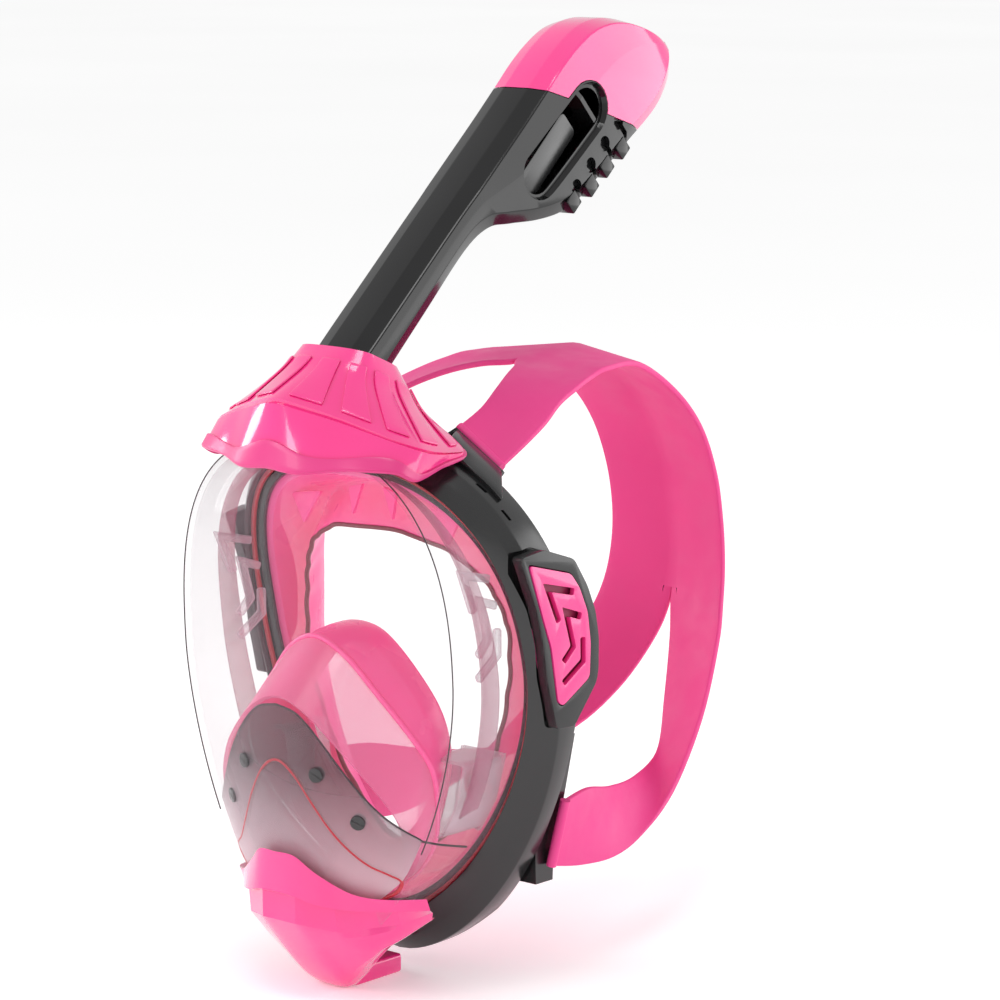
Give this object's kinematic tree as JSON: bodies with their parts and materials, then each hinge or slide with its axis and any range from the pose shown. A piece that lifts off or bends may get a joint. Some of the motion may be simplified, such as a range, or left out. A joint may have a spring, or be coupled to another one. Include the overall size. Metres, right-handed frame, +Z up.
{
  "type": "full face snorkel mask",
  "caption": "Full face snorkel mask with a clear visor, black frame, inner nose-and-mouth cup, pink covers, a head strap and a float-valve snorkel that pulls off.",
  "frame": {"origin": "middle of the seam between visor and frame, level with the mask's widest point; the wearer's face comes to it from +Y", "axes": "+Z up the standing mask, +Y from the visor back to the wearer's head, +X to the viewer's right when the visor is seen from the front"},
  "size_m": [0.1666, 0.2577, 0.3771],
  "materials": {
    "clear_plastic": "clear polished",
    "black_plastic": "satin moulded",
    "black_gloss": "gloss",
    "pink_gloss": "gloss",
    "pink_silicone": "soft satin",
    "red_silicone": "soft satin",
    "float_plastic": "matte",
    "steel": "turned"
  },
  "bodies": {
    "mask": {"lens": "clear_plastic", "cup_carrier": "clear_plastic", "left_valve_plate": "clear_plastic", "right_valve_plate": "clear_plastic", "front_frame": "black_plastic", "retaining_ring": "black_plastic", "left_vent_housing": "black_plastic", "right_vent_housing": "black_plastic", "left_upper_strap_bar": "black_plastic", "right_upper_strap_bar": "black_plastic", "left_lower_strap_lug": "black_plastic", "right_lower_strap_lug": "black_plastic", "socket_collar": "black_plastic", "purge_valve_seat": "black_plastic", "carrier_stud_1": "black_plastic", "carrier_stud_2": "black_plastic", "carrier_stud_3": "black_plastic", "carrier_stud_4": "black_plastic", "crown_cover": "pink_gloss", "chin_cover": "pink_gloss", "left_vent_panel": "pink_gloss", "right_vent_panel": "pink_gloss", "left_valve_seat": "pink_gloss", "right_valve_seat": "pink_gloss", "face_skirt": "pink_silicone", "oronasal_cup": "pink_silicone", "head_strap": "pink_silicone", "lens_gasket": "red_silicone", "mouth_seal": "red_silicone", "ring_screw_1": "steel", "ring_screw_2": "steel", "ring_screw_3": "steel", "ring_screw_4": "steel", "ring_screw_5": "steel", "ring_screw_6": "steel"},
    "snorkel": {"snorkel_tube": "black_gloss", "snorkel_divider": "black_gloss", "snorkel_cap": "pink_gloss", "float_seat": "black_gloss", "snorkel_o_ring": "red_silicone"},
    "float": {"float": "float_plastic", "float_seal": "red_silicone"},
    "right_inhale_disc": {"right_valve_disc": "red_silicone"},
    "left_inhale_disc": {"left_valve_disc": "red_silicone"},
    "purge_disc": {"purge_valve_disc": "red_silicone"}
  },
  "joints": [
    {"name": "snorkel_pull", "type": "slide", "parent": "mask", "child": "snorkel", "axis": [0, 0.7312, 0.6822], "range_m": [0, 0.045]},
    {"name": "float_rise", "type": "slide", "parent": "snorkel", "child": "float", "axis": [0, 0.7312, 0.6822], "range_m": [0, 0.0085]},
    {"name": "right_inhale_open", "type": "slide", "parent": "mask", "child": "right_inhale_disc", "axis": [0, 1, 0], "range_m": [0, 0.0015], "stiffness_N_per_m": 40, "springref_m": -0.0002},
    {"name": "left_inhale_open", "type": "slide", "parent": "mask", "child": "left_inhale_disc", "axis": [0, 1, 0], "range_m": [0, 0.0015], "stiffness_N_per_m": 40, "springref_m": -0.0002},
    {"name": "purge_open", "type": "slide", "parent": "mask", "child": "purge_disc", "axis": [0, 0.2651, -0.9642], "range_m": [0, 0.0012], "stiffness_N_per_m": 40, "springref_m": -0.0004}
  ]
}
